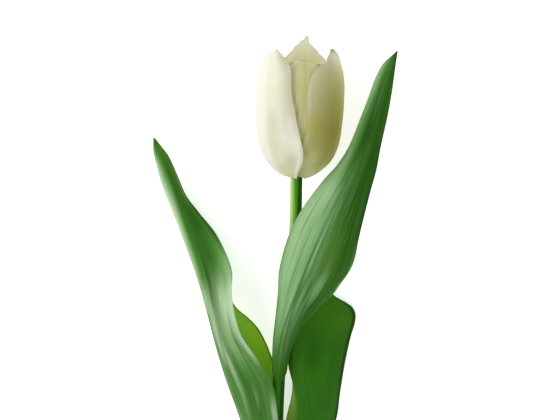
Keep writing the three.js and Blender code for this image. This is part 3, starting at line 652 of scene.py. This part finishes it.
leaves = {
    "leafLeft": {
        "node": "leaf_left", "seed": 31,
        "left": [[-8.4, -203, 2.2], [-8.6, -176, 1.7], [-9.6, -148, 1.6], [-10.6, -120, 1.8],
                 [-12.2, -97, 2.4], [-15.6, -86, 3.2], [-20.9, -75.6, 3.8], [-26.1, -70.0, 4.0],
                 [-31.4, -65.6, 3.6], [-35.8, -59.5, 2.4], [-43.0, -50, 1.2], [-50.5, -40, 0.4],
                 [-57.6, -27, 0.8], [-64.0, -12, 2.6], [-69.9, 3, 5.0], [-73.1, 13, 6.8],
                 [-73.6, 20.4, 8.0]],
        "rib": [[-14.7, -204, 6.5], [-17.0, -176, 8.4], [-22.0, -150, 9.6], [-29.0, -123, 10.6],
                [-36.4, -102, 12.0], [-41.4, -86, 13.4], [-45.6, -70, 14.6], [-49.7, -53, 15.0],
                [-53.6, -38, 15.0], [-58.6, -22, 14.2], [-63.6, -6, 12.8], [-68.8, 7, 11.2],
                [-72.0, 14.5, 9.6], [-73.3, 20.4, 8.0]],
        "right": [[-8.6, -203, 10.4], [-7.8, -186, 12.6], [-7.9, -165, 15.0], [-9.0, -142, 17.2],
                  [-11.0, -120.5, 18.8], [-13.9, -103, 19.9], [-20.9, -91.2, 20.4], [-29.2, -79, 20.6],
                  [-31.8, -71, 20.9], [-33.7, -62, 21.0], [-34.3, -55, 20.6], [-33.9, -48.5, 19.4],
                  [-35.5, -41.5, 17.2], [-42.0, -28, 13.4], [-50.4, -17.5, 10.6], [-57.2, -8.5, 9.0],
                  [-61.0, 0.2, 8.6], [-66.0, 11.2, 8.6], [-70.0, 16.6, 8.4], [-73.0, 20.4, 8.0]],
        "bow": [[0, 1.9, 1.7], [0.12, 2.2, 2.2], [0.3, 3.6, 2.2], [0.5, 4.3, 0.6], [0.62, 4.4, -2.2],
                [0.72, 3.2, -1.6], [0.8, 2.5, -0.6], [0.9, 2.8, 0.4], [1, 0, 0]],
        "ribSpan": [0.05, 0.2, 0.66, 0.45], "ribHeight": 0.08, "stripeShare": 0.4, "shadeShare": 0.5,
        "veinShare": 0.3, "threadShare": 0.12, "letsThrough": 0.42, "rimShare": 0.85,
        "rightSpan": [0.7, 0.78], "rightBand": [0.8, 0.93],
        "through": rgb(150, 210, 36), "white": rgb(222, 234, 214), "bright": rgb(228, 246, 66),
        "olive": rgb(58, 92, 34),
        # painted light and shade: the waxy spots are pale bloom and painted highlights on the flanks turned
        # to the light, and the deep spot high on the right is painted shade
        "zones": [
            [0.6, 0.3, 0.5, 0.35, "deep", 0.4], [-0.7, 0.72, 0.6, 0.4, "waxAndHighlight", 1.0],
            [-0.4, 0.33, 0.42, 0.3, "waxAndHighlight", 0.8], [0.66, 0.6, 0.56, 0.12, "waxAndHighlight", 0.95],
            [0.62, 0.52, 0.3, 0.08, "pale", 0.7], [0.9, 0.69, 0.4, 0.08, "pale", 0.7],
            [0.5, 0.82, 0.7, 0.18, "deep", 1.0]],
        # painted light and shade: the bright lime spot is a painted glow of light through the curled flap,
        # the darkest spots are painted shade on the half turned from the light, the whitest spot is a
        # painted highlight at the raised right margin, and the small pale, waxy and deep spots paint
        # streaks partly as light and shade on the folds; the olive spot is the tip's own colour
        "overZones": [
            [-0.9, 0.51, 0.6, 0.2, "bright", 1.0], [0.31, 0.42, 0.08, 0.1, "pale", 0.7],
            [0.2, 0.53, 0.1, 0.07, "waxAndHighlight", 0.7], [0.12, 0.38, 0.08, 0.14, "pale", 0.5],
            [0.56, 0.38, 0.24, 0.1, "deep", 0.9], [0.18, 0.61, 0.14, 0.07, "waxAndHighlight", 0.8],
            [0.95, 0.505, 0.12, 0.06, "waxAndHighlight", 0.75], [0.95, 0.59, 0.2, 0.13, "white", 0.8],
            [0.2, 0.94, 1.0, 0.12, "olive", 0.4], [0.25, 0.9, 0.35, 0.1, "shadowGreen", 0.7],
            [0.6, 0.8, 0.45, 0.09, "shadowGreen", 0.85], [0.5, 0.72, 0.4, 0.06, "shadowGreen", 0.5],
            [0.27, 0.68, 0.07, 0.06, "shadowGreen", 0.7], [0.08, 0.63, 0.1, 0.05, "waxAndHighlight", 0.8],
            [0.18, 0.57, 0.14, 0.05, "waxAndHighlight", 0.7], [0.3, 0.49, 0.08, 0.08, "waxAndHighlight", 0.65],
            [0.25, 0.63, 0.05, 0.04, "deep", 0.5], [0.43, 0.44, 0.08, 0.08, "deep", 0.6],
            [0.5, 0.42, 0.08, 0.05, "deep", 0.4], [0.75, 0.52, 0.06, 0.04, "deep", 0.7],
            [0.13, 0.41, 0.1, 0.07, "deep", 0.6], [0.5, 0.62, 0.08, 0.04, "waxAndHighlight", 0.6],
            [0.74, 0.61, 0.1, 0.04, "waxAndHighlight", 0.6], [0.58, 0.4, 0.07, 0.04, "pale", 0.5],
            [0.93, 0.355, 0.12, 0.05, "waxAndHighlight", 0.75], [0.9, 0.42, 0.12, 0.03, "deep", 0.4],
            [0.85, 0.885, 0.2, 0.06, "waxAndHighlight", 0.3], [0.98, 0.57, 0.08, 0.04, "pale", 0.8],
            [1.0, 0.68, 0.06, 0.04, "edge", 0.6], [0.1, 0.99, 0.8, 0.03, "edge", 0.6]],
    },
    "leafRight": {
        "node": "leaf_right", "seed": 32,
        "left": [[-13.9, -93, 14.4], [-13.8, -88, 15.0], [-13.4, -80, 16.4], [-12.5, -72, 18.0],
                 [-11.1, -58, 20.4], [-10.5, -47, 22.4], [-8.4, -37, 23.8], [-4.6, -26, 24.8],
                 [0.9, -15.6, 25.4], [11.6, -1.2, 26.4], [18.4, 6.3, 26.6], [24.0, 15, 26.6],
                 [30.2, 30, 26.4], [34.4, 41, 26.0], [37.8, 50.4, 25.6], [41.6, 57.2, 25.0],
                 [48.2, 63.2, 24.4]],
        "rib": [[-10.6, -103, 17.9], [-9.6, -92, 19.0], [-7.5, -80, 21.2], [-4.2, -69, 23.6],
                [0.6, -57.6, 26.0], [5.2, -47, 28.0], [10.2, -35, 29.4], [16.2, -21, 30.4],
                [23.0, -6, 30.4], [29.6, 9, 29.8], [35.4, 25, 28.8], [40.6, 41, 27.4], [44.4, 53, 26.0],
                [48.5, 63.6, 24.4]],
        "right": [[-6.2, -93, 14.4], [-5.5, -88.8, 15.2], [-3.6, -83.5, 16.2], [-0.1, -77.5, 17.2],
                  [4.3, -71, 17.8], [9.7, -64.5, 18.2], [16.9, -57.6, 18.6], [19.6, -53.8, 18.9],
                  [24.0, -47.6, 19.2], [27.0, -41.5, 19.6], [29.2, -30.8, 20.4], [32.4, -17.5, 21.6],
                  [35.6, -5, 22.6], [38.0, 3.7, 23.4], [40.2, 15.5, 24.2], [43.6, 30.8, 24.8],
                  [45.9, 43.5, 24.9], [47.7, 56.2, 24.8], [48.8, 63.2, 24.4]],
        "bow": [[0, 1.5, 1.5], [0.15, 1.6, 1.6], [0.35, 2.4, 1.8], [0.55, 2.2, 1.2], [0.75, 1.0, 0.6],
                [1, 0, 0]],
        "ribHeight": 0.07, "stripeShare": 0.75, "stripes": [10.0, 2.4, 5.0, 3.0],
        "threads": [24.0, 3.0, 9.0, 1.0], "streakSpan": [0.72, 0.46], "shine": 0.08,
        "rightSpan": [0.32, 0.48], "veinShare": 0.3, "shadeShare": 0.5, "threadShare": 0.35,
        "leftEdge": 0.3, "plainRight": 0.9,
        "deep": rgb(42, 98, 0), "pale": rgb(150, 196, 138), "waxAndHighlight": rgb(194, 216, 180),
        "light": rgb(168, 208, 150), "grass": rgb(112, 156, 64), "stemGreen": rgb(52, 110, 18),
        # painted light and shade: the pale and waxy spots light the left half, which faces the light, and
        # the deep spots shade the right half and the top, which turn from it
        "zones": [
            [-0.4, 0.36, 0.75, 0.34, "pale", 0.95], [-0.8, 0.44, 0.5, 0.4, "waxAndHighlight", 0.6],
            [-0.5, 0.54, 0.4, 0.12, "waxAndHighlight", 0.5], [0.75, 0.52, 0.65, 0.42, "deep", 0.92],
            [0.4, 0.57, 0.4, 0.16, "deep", 1.0], [0.2, 0.88, 0.9, 0.3, "deep", 1.0],
            [-0.06, 0.27, 0.16, 0.08, "deep", 0.5], [0.36, 0.3, 0.2, 0.08, "pale", 0.5],
            [0.05, 0.6, 0.35, 0.14, "deep", 0.6], [-0.1, 0.82, 0.5, 0.14, "deep", 0.6]],
        # painted light and shade: the narrow light and deep spots paint streaks partly as light and shade
        # on the ribs, the light and waxy spots along the left margin are painted highlights, and the
        # darkest spot is painted shade near the top; the dark spot at the right margin is its own dark
        # edge, partly painted shade where it rolls under
        "overZones": [
            [1.0, 0.8, 0.2, 0.5, "edge", 0.9], [-0.42, 0.32, 0.04, 0.2, "deep", 0.6],
            [-0.32, 0.54, 0.04, 0.1, "deep", 0.5], [-0.34, 0.43, 0.1, 0.12, "light", 0.7],
            [-0.16, 0.37, 0.05, 0.12, "deep", 0.35], [-0.09, 0.39, 0.06, 0.14, "light", 0.6],
            [-0.03, 0.41, 0.04, 0.12, "deep", 0.4], [-0.24, 0.24, 0.08, 0.11, "light", 0.8],
            [-0.09, 0.25, 0.07, 0.1, "deep", 0.75], [0.03, 0.25, 0.06, 0.09, "light", 0.65],
            [0.12, 0.28, 0.06, 0.07, "deep", 0.7], [0.36, 0.29, 0.18, 0.06, "light", 0.5],
            [0.3, 0.4, 0.4, 0.15, "grass", 0.55], [-0.1, 0.74, 0.4, 0.13, "shadowGreen", 0.85],
            [-0.7, 0.64, 0.28, 0.1, "light", 0.5], [-0.42, 0.545, 0.25, 0.05, "light", 0.5],
            [-1.0, 0.9, 0.55, 0.16, "waxAndHighlight", 0.7], [-0.95, 0.74, 0.4, 0.12, "light", 0.6],
            [1.0, 0.38, 0.12, 0.07, "light", 0.6], [1.0, 0.28, 0.14, 0.05, "light", 0.4],
            [-0.2, 0.985, 0.8, 0.03, "edge", 0.6], [-0.8, 0.89, 0.5, 0.12, "pale", 0.5],
            [0.1, 0.0, 2.5, 0.17, "stemGreen", 1.0], [-1.0, 0.1, 0.25, 0.08, "deep", 0.6]],
    },
    "leafBack": {
        "node": "leaf_back", "seed": 33,
        "left": [[-14.4, -176, 5.4], [-13.2, -158, 5.0], [-10.4, -140, 5.0], [-8.0, -126, 5.6],
                 [-6.0, -117, 6.4], [-4.3, -110, 7.6], [-3.7, -103, 8.4], [-5.6, -95, 8.8],
                 [-6.2, -86, 8.8], [-2.6, -72, 8.6], [3.0, -60, 8.2], [7.4, -50, 7.8], [9.2, -44, 7.4]],
        "rib": [[-9.9, -178, 4.3], [-8.0, -160, 5.0], [-5.0, -142, 6.4], [-1.4, -126, 9.4],
                [-0.4, -116, 11.2], [-1.4, -108, 12.2], [-3.0, -102, 12.4], [-3.8, -94, 12.4],
                [-2.6, -82, 12.2], [1.0, -70, 11.6], [5.0, -60, 10.6], [8.6, -50, 8.8],
                [9.6, -43.6, 7.4]],
        "right": [[-7.2, -176, 8.0], [-2.4, -162, 6.6], [5.0, -147, 3.6], [13.3, -133, 1.2],
                  [18.3, -121, 0.4], [20.3, -107.2, 0.4], [22.8, -92.3, 0.4], [25.5, -80, 0.4],
                  [27.8, -72.0, 0.6], [27.9, -68.0, 1.0], [26.3, -64.8, 1.6], [23.3, -62.6, 2.4],
                  [16.9, -58.6, 4.0], [12.6, -52, 5.8], [10.0, -44, 7.4]],
        "bow": [[0, -0.9, -0.8], [0.12, -0.5, -0.2], [0.3, 0.6, 1.6], [0.46, 0.2, 1.9], [0.57, -0.1, 2.0],
                [0.67, 0.5, 1.9], [0.85, 0.4, 0.8], [1, 0, 0]],
        "ribHeight": 0.03, "stripeShare": 0.1, "veinShare": 0.06, "threadShare": 0.05,
        "letsThrough": 0.36,
        "deep": rgb(44, 112, 0), "mid": rgb(58, 128, 4), "through": rgb(128, 198, 30),
        "lime": rgb(226, 255, 124), "fresh": rgb(86, 136, 18), "shadowGreen": rgb(24, 84, 0),
        "zones": [[0.5, 0.86, 1.0, 0.22, "fresh", 0.9]],
        # painted light and shade: the lime spot is a painted glow of light through the curled left margin,
        # and the darkest spot is painted shade
        "overZones": [
            [-0.95, 0.46, 1.0, 0.2, "lime", 1.0], [0.02, 0.6, 0.16, 0.08, "fresh", 0.6],
            [0.35, 0.66, 0.22, 0.14, "shadowGreen", 0.6]],
    },
}


def leafSurface(s, u, v):
    seed = s["seed"]
    left, rib, right = (alongCurve(s[rail], v)[0] for rail in ("left", "rib", "right"))
    ahead = alongCurve(s["rib"], v)[1]
    leftBow, rightBow = (readGraph([[row[0], row[k]] for row in s["bow"]], v)[:, None] for k in (1, 2))
    leftMiddle = (left + rib) / 2 + unit(np.cross(rib - left, ahead)) * leftBow
    rightMiddle = (rib + right) / 2 + unit(np.cross(right - rib, ahead)) * rightBow
    rails = zip(left, leftMiddle, rib, rightMiddle, right)
    surface = np.array([smoothThrough(points, (u + 1) / 2) for points in rails])
    u, v = np.meshgrid(u, v)
    inside = fade(v, *s["ribSpan"][:2]) * fade(v, *s["ribSpan"][2:]) * fade(np.abs(u), *s["ribMargin"])
    wander = s["ribWander"] * softWaves(v, seed, *s["wanderWaves"])
    evenly, mixed = s["ribMix"]
    ribs = s["ribHeight"] * np.cos(math.pi * s["ribs"] * u + wander)
    ribs = ribs * (evenly + mixed * softWaves(u, seed + 5, *s["mixWaves"]))
    return settle(surface, s, ribs * inside + s["keelDepth"] * bell(u, 0, s["keelWidth"]) * inside)


def leafMaterial(name, s):
    material, at = newMaterial(name)
    u, v = sheetPlace(at)
    kinds = ("veins", "stripes", "threads", "breaks", "cells", "clouds")
    veins, stripes, threads, breaks, cells, clouds = (stretched(u, v, s[kind]) for kind in kinds)
    colour = blendColours(step(clouds, *s["cloudSpan"]), s["deep"], s["mid"])
    colour = paintZones(colour, u, v, s, s["zones"])
    veined = 1.0 - s["plainRight"] * step(u, *s["plainSpan"])
    colour = blendColours(step(veins, *s["veinSpan"]) * veined * s["veinShare"], colour, s["pale"])
    colour = blendColours(step(veins, *s["furrowSpan"]) * s["veinShare"], colour, s["deep"])
    # pale and deep streaks along the veins, strongest towards the foot and the left margin: the leaf's own
    # tone, partly painted light and shade on its ribs
    streaked = step(v, *s["streakSpan"]) * stepFrom(s["streakFloor"], u, *s["streakAcross"])
    streaked = streaked * stepFrom(s["breakFloor"], breaks, *s["breakSpan"])
    colour = blendColours(step(stripes, *s["stripeSpan"]) * streaked * s["stripeShare"], colour, s["pale"])
    colour = blendColours(step(stripes, *s["shadeSpan"]) * s["shadeShare"], colour, s["deep"])
    colour = blendColours(step(threads, *s["threadSpan"]) * streaked * s["threadShare"], colour, s["waxAndHighlight"])
    # painted highlight along the left margin, which faces the light
    shift = step(v, *s["rimInward"]) * s["rimInwardBy"] - step(v, *s["rimOutward"]) * s["rimOutwardBy"]
    rim = step(u + shift, *s["rimBand"]) * step(v, *s["rimEnd"]) * stepFrom(s["rimFloor"], v, *s["rimFull"])
    colour = blendColours(rim * s["rimShare"], colour, s["white"])
    colour = paintZones(colour, u, v, s, s["overZones"])
    # dark lines along both margins: the leaf's own dark edges, partly painted shade where the right margin
    # rolls under
    dark = step(u, *s["rightBand"]) * step(v, *s["rightSpan"]) * s["rightEdge"]
    colour = blendColours(dark, colour, s["edge"])
    colour = blendColours(step(u, *s["leftBand"]) * s["leftEdge"], colour, s["edge"])
    colour = blendColours(step(v, *s["tipSpan"]), colour, s["tip"])
    rough = s["rough"] + s["veinRough"] * veins + s["cloudRough"] * clouds
    height = veins + stripes * s["stripeBump"] + cells * s["cellBump"]
    surfaceOutput(at, colour, rough, height, s, s["through"])
    return material


for leafName, leafSpec in leaves.items():
    makeBlade(leafName, leafSpec, leafSettings, leafSurface, leafMaterial)


# Heart of the bloom
pistilSettings = {
    "foot": 3.7, "height": 17.0, "radius": 2.5, "sides": 48, "rings": 70, "capRings": 5,
    "outline": [[0, 0.5], [0.07, 0.5], [0.22, 1.0], [0.6, 1.0], [0.8, 0.8], [0.88, 0.95],
                [0.95, 1.5], [1, 1.3]],
    "lobes": [[0, 0.0], [0.2, 0.1], [0.8, 0.12], [0.92, 0.3], [1, 0.35]], "lobeCount": 3,
    "crest": 0.06, "crestCount": 36, "crestSpan": [0.88, 0.96],
    "ovary": rgb(190, 208, 128), "ovaryShade": rgb(166, 186, 100), "stigma": rgb(242, 234, 176),
    "grainScale": 1400.0, "grainSpan": [0.3, 0.7], "shadeShare": 0.4, "stigmaSpan": [0.1065, 0.1085],
    "rough": 0.5, "stigmaRough": 0.3,
    "shine": 0.3, "bumpStrength": 0.5, "bumpDepth": 0.15,
}


def pistilMaterial(s):
    material, at = newMaterial("pistilSkin")
    place, y = objectPlace(at)
    grain = noise(place, s["grainScale"], 3.0)
    stigma = step(y, *s["stigmaSpan"])
    colour = blendColours(step(grain, *s["grainSpan"]) * s["shadeShare"], s["ovary"], s["ovaryShade"])
    colour = blendColours(stigma, colour, s["stigma"])
    surfaceOutput(at, colour, s["rough"] + s["stigmaRough"] * stigma, grain, s)
    return material


def makePistil(s):
    ends = [inBloom(0.0, s["foot"] + s["height"] * share, 0.0) for share in (0, 0.5, 1)]
    def radius(v, angle):
        lobed = 1 + readGraph(s["lobes"], v) * np.cos(s["lobeCount"] * angle)
        crest = s["crest"] * np.cos(s["crestCount"] * angle) * fade(v, *s["crestSpan"])
        return s["radius"] * readGraph(s["outline"], v) * lobed + crest
    piece = tube("tulipPistil", ends, radius, s["sides"], s["rings"], s["capRings"])
    return finishPiece(piece, "pistil", pistilMaterial(s))


makePistil(pistilSettings)

stamenSettings = {
    "count": 6,  # the routes are points of [distance from the bloom's axis, height]
    "filamentRoute": [[2.4, 4.3], [4.3, 6.5], [5.1, 10.5], [5.2, 12.0]], "filamentMesh": [16, 24, 1],
    "filamentRadius": 0.65, "filamentTaper": 0.25,
    "antherRoute": [[5.0, 10.5], [5.3, 15.5], [5.5, 20.5]], "antherMesh": [24, 36, 2],
    "antherRadius": 1.15, "antherEnd": 0.35, "furrowDepth": 0.16, "furrowWidth": 0.25,
    "seat": 3.7, "ringRadius": 2.45, "ringThickness": 0.45, "ringSwell": 0.15, "ringMesh": [72, 18],
    "filament": rgb(230, 228, 186), "pollen": rgb(252, 238, 150), "pollenDark": rgb(236, 210, 110),
    "dustScale": 2600.0, "dustSpan": [0.35, 0.65], "pollenSpan": [0.0998, 0.1012],
    "rough": 0.5, "pollenRough": 0.35, "shine": 0.2, "bumpStrength": 0.8, "bumpDepth": 0.25,
}


def stamenMaterial(s):
    material, at = newMaterial("stamenSkin")
    place, y = objectPlace(at)
    dust = noise(place, s["dustScale"], 2.0)
    pollen = step(y, *s["pollenSpan"])
    yellow = blendColours(step(dust, *s["dustSpan"]), s["pollenDark"], s["pollen"])
    colour = blendColours(pollen, s["filament"], yellow)
    surfaceOutput(at, colour, s["rough"] + s["pollenRough"] * pollen, dust, s)
    return material


def footRing(s):  # an open ring, thickest between the stamens
    clearSelection()
    around, thick = s["ringMesh"]
    bpy.ops.mesh.primitive_torus_add(major_segments=around, minor_segments=thick,
                                     major_radius=s["ringRadius"], minor_radius=s["ringThickness"])
    ring = bpy.context.object
    points = vertexPlaces(ring).astype(float)
    points[:, 2] *= 1 - s["ringSwell"] * np.cos(s["count"] * np.arctan2(points[:, 1], points[:, 0]))
    middle = inBloom(0.0, s["seat"] + s["ringThickness"], 0.0)
    moveVertices(ring, middle + points @ np.array([bloomSide, bloomUp, bloomAxis]))
    return ring


def makeStamens(s):
    def route(points):
        return [list(inBloom(reach, height, 0.0)) for reach, height in points]
    def filamentRadius(v, angle):
        return s["filamentRadius"] * (1 - s["filamentTaper"] * v)
    def antherRadius(v, angle):
        swell = np.maximum(np.sin(math.pi * np.clip(v, 0.02, 0.98)) ** 0.5, s["antherEnd"])
        furrows = s["furrowDepth"] * bell(np.abs(np.sin(angle)), 1.0, s["furrowWidth"])
        return s["antherRadius"] * swell * (1 - furrows)
    filament = tube("filament", route(s["filamentRoute"]), filamentRadius, *s["filamentMesh"])
    anther = tube("anther", route(s["antherRoute"]), antherRadius, *s["antherMesh"])
    first = joinPieces("stamen", [filament, anther])
    foot = Vector((bloomFoot - footprintMiddle) * mm)
    stamens = []
    for k in range(s["count"]):
        copy = first.copy()
        copy.data = first.data.copy()
        bpy.context.collection.objects.link(copy)
        turn = Matrix.Rotation((k + 0.5) * 2 * math.pi / s["count"], 4, Vector(bloomAxis))
        copy.data.transform(Matrix.Translation(foot) @ turn @ Matrix.Translation(-foot))
        stamens.append(copy)
    bpy.data.objects.remove(first)
    piece = joinPieces("tulipStamens", [footRing(s)] + stamens)
    return finishPiece(piece, "stamens", stamenMaterial(s))


makeStamens(stamenSettings)


# Floor, light and camera
studioSettings = {
    "floorSize": 6.0, "floorLevel": -0.0002, "floor": (0.92, 0.92, 0.92, 1.0), "floorRough": 0.8,
    "floorShine": 0.2, "floorGlow": 0.6, "sky": (1.0, 1.0, 1.0, 1.0), "skyStrength": 0.42,
    "keyPlace": (-1.5, 0.35, 1.05), "keySize": 1.4, "keyPower": 35.0, "keyColour": (1.0, 0.985, 0.95),
    "fillPlace": (0.3, -1.5, 1.1), "fillSize": 1.6, "fillPower": 8.0, "fillColour": (0.97, 0.99, 1.0),
    "aim": (0.0, 0.06, 0.02), "cameraHeight": 3.0, "frameWidth": 0.275, "frameMiddle": (0.0, 0.0735),
    "frameLevel": 0.02,
}


def areaLight(name, place, size, power, colour, aim):
    light = bpy.data.lights.new(name, "AREA")
    light.size, light.energy, light.color = size, power, colour
    lamp = bpy.data.objects.new(name, light)
    bpy.context.collection.objects.link(lamp)
    lamp.location = place
    lamp.rotation_euler = (Vector(aim) - Vector(place)).to_track_quat("-Z", "Y").to_euler()


def makeStudio(s):
    clearSelection()
    bpy.ops.mesh.primitive_plane_add(size=s["floorSize"], location=(0, 0, s["floorLevel"]))
    floor = bpy.context.object
    floor.name = "floor"
    material, at = newMaterial("floorPaper")
    skin = at.node("ShaderNodeBsdfPrincipled", None, {
        "Base Color": s["floor"], "Roughness": s["floorRough"], "Specular IOR Level": s["floorShine"],
        "Emission Color": s["sky"], "Emission Strength": s["floorGlow"]})
    at.node("ShaderNodeOutputMaterial", None, {0: skin})
    floor.data.materials.append(material)
    world = bpy.data.worlds.new("studio")
    world.use_nodes = True
    background = world.node_tree.nodes["Background"]
    background.inputs[0].default_value = s["sky"]
    background.inputs[1].default_value = s["skyStrength"]
    bpy.context.scene.world = world
    for name in ("key", "fill"):
        areaLight(name, *(s[name + kind] for kind in ("Place", "Size", "Power", "Colour")), s["aim"])
    camera = bpy.data.cameras.new("camera")
    camera.lens = camera.sensor_width * (s["cameraHeight"] - s["frameLevel"]) / s["frameWidth"]
    eye = bpy.data.objects.new("camera", camera)
    bpy.context.collection.objects.link(eye)
    eye.location = (*s["frameMiddle"], s["cameraHeight"])
    bpy.context.scene.camera = eye
    bpy.context.scene.view_settings.view_transform = "Standard"
    print("studio ready")


makeStudio(studioSettings)
